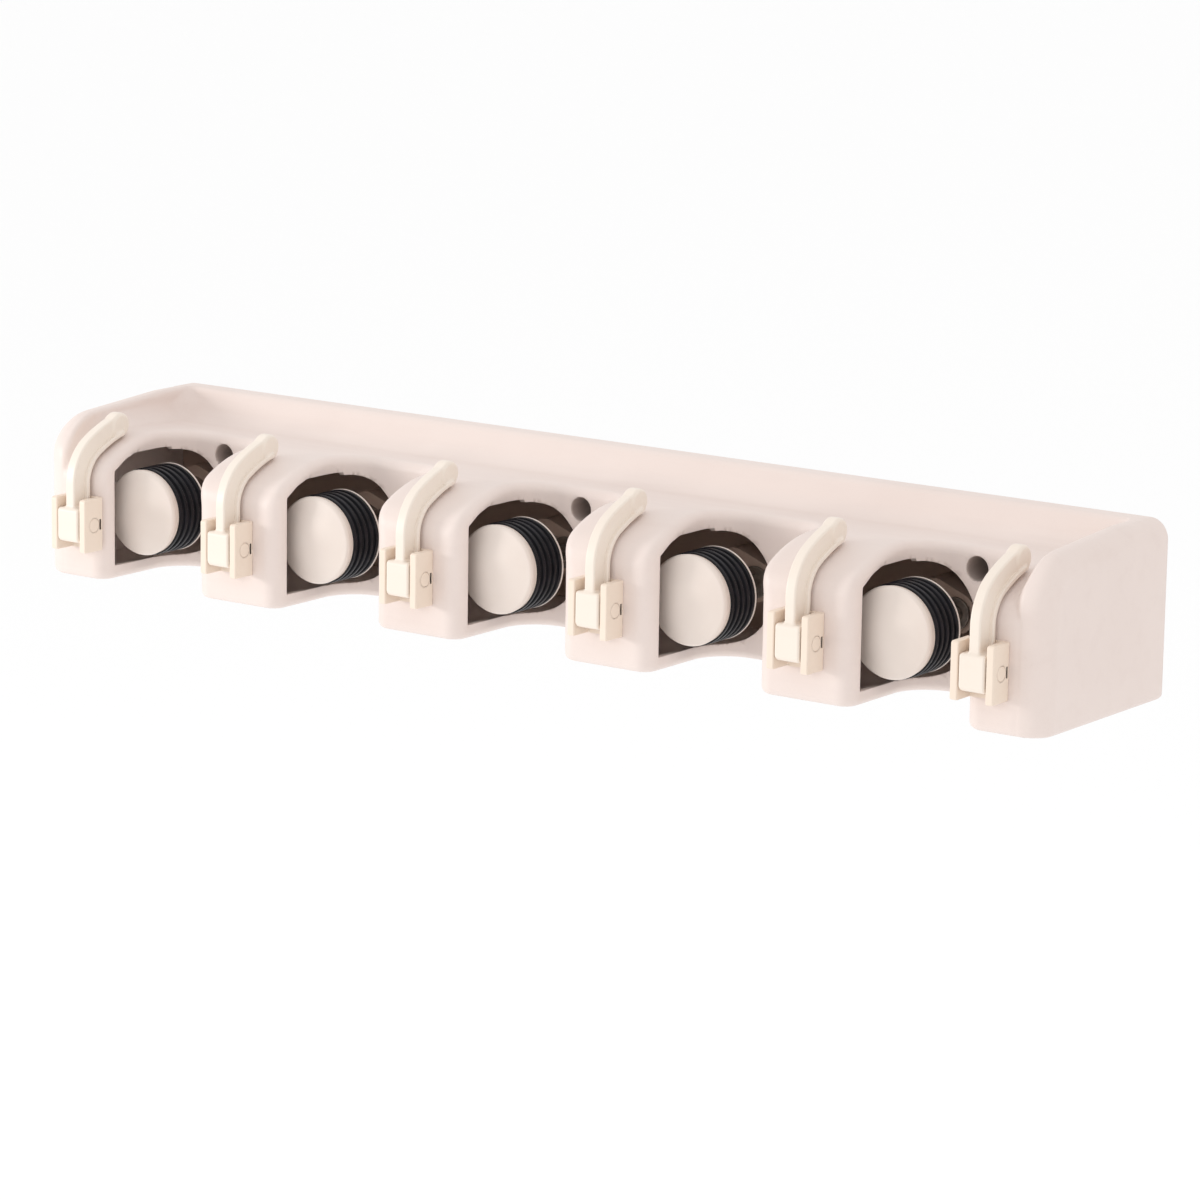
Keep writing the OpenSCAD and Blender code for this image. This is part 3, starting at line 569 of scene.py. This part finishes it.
pale_cream = moulded("pale_cream_moulding", (0.86, 0.77, 0.68, 1), (0.84, 0.735, 0.64, 1), 0.36, 0.05)
points, quads = skin(hook_distance, lines((-5.1, 5.1, 0.36)), lines((-87.4, -54.8, 0.42)),
                     lines((13.9, 58.7, 0.42)))
normals = slope_of(hook_distance, points)
for number, place in enumerate(HOOK_PLACES, 1):
    hook = piece(f"hook_moulding_{number}", points + (place, 0, 0), [quads], normals)
    dress(hook, pale_cream, "hook_plastic", f"folding_hook_{number}", f"hook_{number}")

# Hook pins: short round pins of the brackets' cream plastic, with softened ends.
# Each is pressed through both ears of its bracket, and the hook turns on it.
PIN_EDGE = 0.4


def rounded(corners, radius, steps=5):
    """Closed outline whose corners become smooth bends; each starts one radius before its corner, or at most
    half way along the side, and blends the sides and the corner by the squares of the way left and gone."""
    corners = np.array(corners, float)
    reach = np.broadcast_to(np.array(radius, float), len(corners))
    before, after = np.roll(corners, 1, axis=0) - corners, np.roll(corners, -1, axis=0) - corners
    gone = np.linspace(0, 1, steps)[None, :, None]

    def part(side):
        length = np.linalg.norm(side, axis=1)
        return (side * (np.minimum(reach, 0.48 * length) / length)[:, None])[:, None]

    bend = corners[:, None] + part(before) * (1 - gone) ** 2 + part(after) * gone ** 2
    path = bend.reshape(-1, 2)
    return path[np.linalg.norm(path - np.roll(path, 1, axis=0), axis=1) > 1e-6]


def turned(path, around=96):
    """Solid of revolution: every point of a closed outline, as a place along the axis and a radius, goes
    round the axis. Points on the axis become one pole. A normal is square to the line between the two
    neighbours of its point."""
    path = np.array(path, float)
    ahead, behind = np.roll(path, -1, axis=0), np.roll(path, 1, axis=0)
    turn = np.sign(np.sum(path[:, 0] * ahead[:, 1] - ahead[:, 0] * path[:, 1]))
    square = turn * np.stack([(ahead - behind)[:, 1], -(ahead - behind)[:, 0]], axis=1)
    pole = path[:, 1] < 1e-6
    square[pole] = np.stack([np.sign(path[pole, 0] - path[:, 0].mean()), 0 * path[pole, 0]], axis=1)
    square /= np.linalg.norm(square, axis=1, keepdims=True)
    angle = np.linspace(0, 2 * np.pi, around, endpoint=False)
    wheel = np.stack([np.ones(around), np.cos(angle), np.sin(angle)], axis=1)
    points = path[:, None, [0, 1, 1]] * wheel[None]
    normals = square[:, None, [0, 1, 1]] * wheel[None]
    number = np.arange(len(path))[:, None] * around + np.arange(around)
    number[pole] = number[pole, :1]
    kept = np.unique(number)
    index = np.zeros(number.size, int)
    index[kept] = np.arange(len(kept))
    number = index[number]
    ahead, beside = np.roll(number, -1, axis=0), np.roll(number, -1, axis=1)
    quads = np.stack([number, ahead, np.roll(ahead, -1, axis=1), beside], axis=2)
    quads = quads if turn > 0 else quads[..., ::-1]
    last = np.roll(pole, -1)
    open_rows = ~pole & ~last
    full = quads[open_rows].reshape(-1, 4)
    fans = quads[pole ^ last].reshape(-1, 4)
    keep = np.stack([fans[:, k] != fans[:, (k + 1) % 4] for k in range(4)], axis=1)
    fans = fans[keep].reshape(-1, 3)
    blocks = [full] if not len(fans) else [full, fans]
    return points.reshape(-1, 3)[kept], blocks, normals.reshape(-1, 3)[kept]


points, faces, normals = turned(rounded(
    [(-EAR_OUT, 0), (-EAR_OUT, PIN_RADIUS), (EAR_OUT, PIN_RADIUS), (EAR_OUT, 0)],
    (0, PIN_EDGE, PIN_EDGE, 0)), 48)
for number, place in enumerate(HOOK_PLACES, 1):
    pin = piece(f"hook_pin_turned_{number}", points + (place, -PIN_DEPTH, PIN_HEIGHT), faces, normals)
    dress(pin, cream, "hook_plastic", "rack", f"hook_pin_{number}")

# Roller axles and clips: dull steel pins, turned with a rear head, a collar and a bead that holds the hub.
# Each lies in its sloping track, kept there by its head and a ring clip, and carries one roller.
ROLLER_INSET = 6.5
ROLLER_PLACES = [PITCH * slot - SLOT_HALF + ROLLER_INSET for slot in range(-2, 3)]
AXLE_RADIUS, AXLE_FRONT, AXLE_HEAD, AXLE_COLLAR, AXLE_BEAD = 3.0, 61.8, 5.0, 4.6, 3.4
CLIP_REAR, CLIP_FRONT, CLIP_RADIUS, PRESS_GAP = 24.3, 25.5, 5.5, 0.02
AXLE_OUTLINE = [
    (0.6, 0), (0.6, AXLE_HEAD), (2.3, AXLE_HEAD), (2.3, AXLE_RADIUS),
    (45.2, AXLE_RADIUS), (45.2, AXLE_COLLAR), (46.6, AXLE_COLLAR), (46.6, AXLE_RADIUS),
    (57, AXLE_RADIUS), (57, AXLE_BEAD), (58, AXLE_BEAD), (58, AXLE_RADIUS),
    (AXLE_FRONT, AXLE_RADIUS), (AXLE_FRONT, 0)]
AXLE_EDGES = (0, 0.4, 0.3, 0.2, 0.2, 0.3, 0.3, 0.2, 0.1, 0.2, 0.2, 0.1, 0.5, 0)
CLIP_OUTLINE = [
    (CLIP_REAR, AXLE_RADIUS + PRESS_GAP), (CLIP_REAR, CLIP_RADIUS),
    (CLIP_FRONT, CLIP_RADIUS), (CLIP_FRONT, AXLE_RADIUS + PRESS_GAP)]


def on_roller(shape, place):
    """Stands a turned shape, whose axis is its first coordinate, forward at a roller's place."""
    points, faces, normals = shape
    swap = np.array([[0, -1, 0], [1, 0, 0], [0, 0, 1.0]])
    return points @ swap + (place, 0, ROLLER_HEIGHT), faces, normals @ swap


dull = steel_finish("dull_steel", (0.36, 0.32, 0.29, 1), 0.42)
axle_shape = turned(rounded(AXLE_OUTLINE, AXLE_EDGES, 4), 64)
clip_shape = turned(rounded(CLIP_OUTLINE, (0.1, 0.3, 0.3, 0.1), 4), 64)
for number, place in enumerate(ROLLER_PLACES, 1):
    axle = piece(f"roller_axle_turned_{number}", *on_roller(axle_shape, place))
    dress(axle, dull, "steel", f"carriage_{number}", f"roller_axle_{number}")
    clip = piece(f"axle_clip_ring_{number}", *on_roller(clip_shape, place))
    dress(clip, dull, "steel", f"carriage_{number}", f"axle_clip_{number}")

# Roller hubs: warm white mouldings with a domed front cap, a sleeve for the tyre and a blind bore.
# The cap is the part that shows, with a rounded rim; the hub snaps over the bead of its axle.
CAP_RADIUS, CAP_EDGE, DOME, CAP_FRONT, CAP_BACK = 15.4, 1.4, 1.8, 65.0, 61.6
FLANGE_FRONT, ROLLER_BACK = 47.8, 46.9
SLEEVE_RADIUS, SPIGOT_RADIUS, HUB_BORE, HUB_BORE_END = 10.0, 8.0, 3.05, 61.85


def hub_outline():
    """Dome as part of a ball, round rim tangent to it, flat rear, sleeve, spigot and blind bore."""
    flat = CAP_RADIUS - CAP_EDGE
    ball = flat ** 2 / (2 * DOME) + DOME / 2
    radius = np.linspace(0, flat, 15)
    dome = np.stack([CAP_FRONT + DOME - ball + np.sqrt(ball ** 2 - radius ** 2), radius], axis=1)
    steep = np.degrees(np.arcsin(flat / ball))
    rim = arc((CAP_FRONT - CAP_EDGE, flat), CAP_EDGE, steep, 90, 8)
    corners = [(CAP_BACK, CAP_RADIUS), (CAP_BACK, SLEEVE_RADIUS),
               (FLANGE_FRONT, SLEEVE_RADIUS), (FLANGE_FRONT, SPIGOT_RADIUS),
               (ROLLER_BACK, SPIGOT_RADIUS), (ROLLER_BACK, HUB_BORE),
               (HUB_BORE_END, HUB_BORE), (HUB_BORE_END, 0)]
    rear = rounded(corners, (0.5, 0.2, 0.2, 0.2, 0.3, 0.3, 0.3, 0), 4)
    return np.concatenate([dome, rim, rear])


def cap_finish(name):
    """Smooth warm white plastic: clouds between two close tones, duller where darker, and a faint grain."""
    finish = Finish(name)
    cloud = finish.range(finish.noise(45.0, 4.0, 0.6), 0.38, 0.7)
    tone = finish.mix(cloud, (0.79, 0.695, 0.63, 1), (0.76, 0.66, 0.595, 1))
    bump = finish.node("ShaderNodeBump", {}, {
        "Strength": 0.06, "Distance": 0.0001, "Height": finish.noise(700.0, 2.0, 0.5)})
    return finish.surface(**{"Base Color": tone, "Roughness": cloud * 0.1 + 0.36, "Normal": bump})


warm_white = cap_finish("warm_white_cap")
hub_shape = turned(hub_outline())
for number, place in enumerate(ROLLER_PLACES, 1):
    hub = piece(f"roller_hub_turned_{number}", *on_roller(hub_shape, place))
    dress(hub, warm_white, "cap_plastic", f"roller_{number}", f"roller_hub_{number}")

# Roller tyres: black rubber sleeves with five soft ribs, stretched over the hubs.
# They lie between the cap and the flange, and are what grips.
TYRE_RADIUS, TYRE_GROOVE, TYRE_EDGE, BAND_COUNT = 15.7, 0.9, 0.42, 9


def tyre_outline():
    """Straight bore, two ends and an outside that steps between rib and groove in equal bands."""
    edges = np.linspace(FLANGE_FRONT, CAP_BACK, BAND_COUNT + 1)
    height = TYRE_RADIUS - TYRE_GROOVE * (np.arange(BAND_COUNT) % 2)
    steps = np.stack([np.repeat(edges, 2)[1:-1], np.repeat(height, 2)], axis=1)
    bore = SLEEVE_RADIUS + PRESS_GAP
    return rounded(np.concatenate([[(FLANGE_FRONT, bore)], steps, [(CAP_BACK, bore)]]), TYRE_EDGE)


def rubber_finish(name):
    """Black rubber with a cool tint, a fine dull bloom and small scuffs."""
    finish = Finish(name)
    bloom = finish.range(finish.noise(160.0, 4.0, 0.62), 0.45, 0.75)
    tone = finish.mix(bloom, (0.006, 0.0055, 0.008, 1), (0.015, 0.014, 0.019, 1))
    bump = finish.node("ShaderNodeBump", {}, {
        "Strength": 0.25, "Distance": 0.00012, "Height": finish.noise(900.0, 3.0, 0.6)})
    return finish.surface(**{
        "Base Color": tone, "Roughness": bloom * 0.2 + 0.34, "Normal": bump, "Specular IOR Level": 0.2})


black = rubber_finish("black_rubber")
tyre_shape = turned(tyre_outline())
for number, place in enumerate(ROLLER_PLACES, 1):
    tyre = piece(f"roller_tyre_ribbed_{number}", *on_roller(tyre_shape, place))
    dress(tyre, black, "rubber", f"roller_{number}", f"roller_tyre_{number}")

# Roller flanges: thin discs of the hubs' white plastic, with a bevelled rear edge.
# They are pressed on the rear ends of the hubs and keep the tyres in place.
FLANGE_RADIUS, FLANGE_REAR_RADIUS, FLANGE_RIM = 15.8, 15.2, 0.6
flange_bore = SPIGOT_RADIUS + PRESS_GAP
flange_shape = turned(rounded(
    [(ROLLER_BACK, flange_bore), (ROLLER_BACK, FLANGE_REAR_RADIUS),
     (FLANGE_FRONT - FLANGE_RIM, FLANGE_RADIUS), (FLANGE_FRONT, FLANGE_RADIUS),
     (FLANGE_FRONT, flange_bore)],
    (0.15, 0.3, 0.2, 0.2, 0.15)))
for number, place in enumerate(ROLLER_PLACES, 1):
    flange = piece(f"roller_flange_disc_{number}", *on_roller(flange_shape, place))
    dress(flange, warm_white, "cap_plastic", f"roller_{number}", f"roller_flange_{number}")

# Floor, light and camera: a pale floor far below, one lamp at the front left and even white light all round.
# The camera stands where the rack was seen from, to its right and a little above it.
FLOOR_HALF, FLOOR_HEIGHT = 20.0, -0.6
floor = bpy.data.objects.new("floor", bpy.data.meshes.new("floor"))
floor_corners = [(x * FLOOR_HALF, y * FLOOR_HALF, FLOOR_HEIGHT)
                 for x, y in ((-1, -1), (1, -1), (1, 1), (-1, 1))]
floor.data.from_pydata(floor_corners, [], [(0, 1, 2, 3)])
bpy.context.scene.collection.objects.link(floor)
matt_white = Finish("matt_white_floor").surface(**{
    "Base Color": (0.985, 0.985, 0.985, 1), "Roughness": 0.9, "Specular IOR Level": 0.1})
floor.data.materials.append(matt_white)

world = bpy.data.worlds.new("studio")
bpy.context.scene.world = world
world.use_nodes = True
sky = world.node_tree.nodes["Background"]
sky.inputs["Color"].default_value = (1, 1, 1, 1)
sky.inputs["Strength"].default_value = 1.0


def soft_lamp(name, place, aim, size, power):
    """Square lamp that faces the given point."""
    lamp = bpy.data.lights.new(name, "AREA")
    lamp.shape, lamp.size, lamp.energy = "SQUARE", size, power
    holder = bpy.data.objects.new(name, lamp)
    bpy.context.scene.collection.objects.link(holder)
    back = np.array(place, float) - np.array(aim, float)
    side = np.cross((0, 0, 1.0), back)
    side /= np.linalg.norm(side)
    back /= np.linalg.norm(back)
    turn = np.eye(4)
    turn[:3, :] = np.column_stack([side, np.cross(back, side), back, place])
    holder.matrix_world = Matrix(turn.tolist())


LAMP_PLACE, LAMP_SIZE, LAMP_POWER = (-1.35, -1.17, 0.25), 0.35, 9.5
soft_lamp("front_lamp", LAMP_PLACE, (0, 0, 0), LAMP_SIZE, LAMP_POWER)

CAMERA_AZIMUTH, CAMERA_HEIGHT, CAMERA_ROLL = math.radians(35), math.radians(12), 0.01775
CAMERA_DISTANCE, FOCAL_PIXELS, FRAME_PIXELS, SENSOR = 1.7158, 4922.5, 1200, 36.0
SHIFT_RIGHT, SHIFT_UP = -39.35, 14.36
back = np.array([math.sin(CAMERA_AZIMUTH) * math.cos(CAMERA_HEIGHT),
                 -math.cos(CAMERA_AZIMUTH) * math.cos(CAMERA_HEIGHT), math.sin(CAMERA_HEIGHT)])
level = np.array([math.cos(CAMERA_AZIMUTH), math.sin(CAMERA_AZIMUTH), 0])
rise = np.cross(back, level)
right = math.cos(CAMERA_ROLL) * level + math.sin(CAMERA_ROLL) * rise
up = math.cos(CAMERA_ROLL) * rise - math.sin(CAMERA_ROLL) * level
camera = bpy.data.objects.new("camera", bpy.data.cameras.new("camera"))
bpy.context.scene.collection.objects.link(camera)
camera.data.sensor_width = SENSOR
camera.data.lens = FOCAL_PIXELS / FRAME_PIXELS * SENSOR
camera.data.shift_x, camera.data.shift_y = SHIFT_RIGHT / FRAME_PIXELS, SHIFT_UP / FRAME_PIXELS
camera.data.clip_start, camera.data.clip_end = 0.05, 40.0
stand = np.eye(4)
stand[:3, :] = np.column_stack([right, up, back, back * CAMERA_DISTANCE + (0, 0, -MID_HEIGHT * MM)])
camera.matrix_world = Matrix(stand.tolist())
bpy.context.scene.camera = camera
bpy.context.scene.view_settings.view_transform = "Standard"
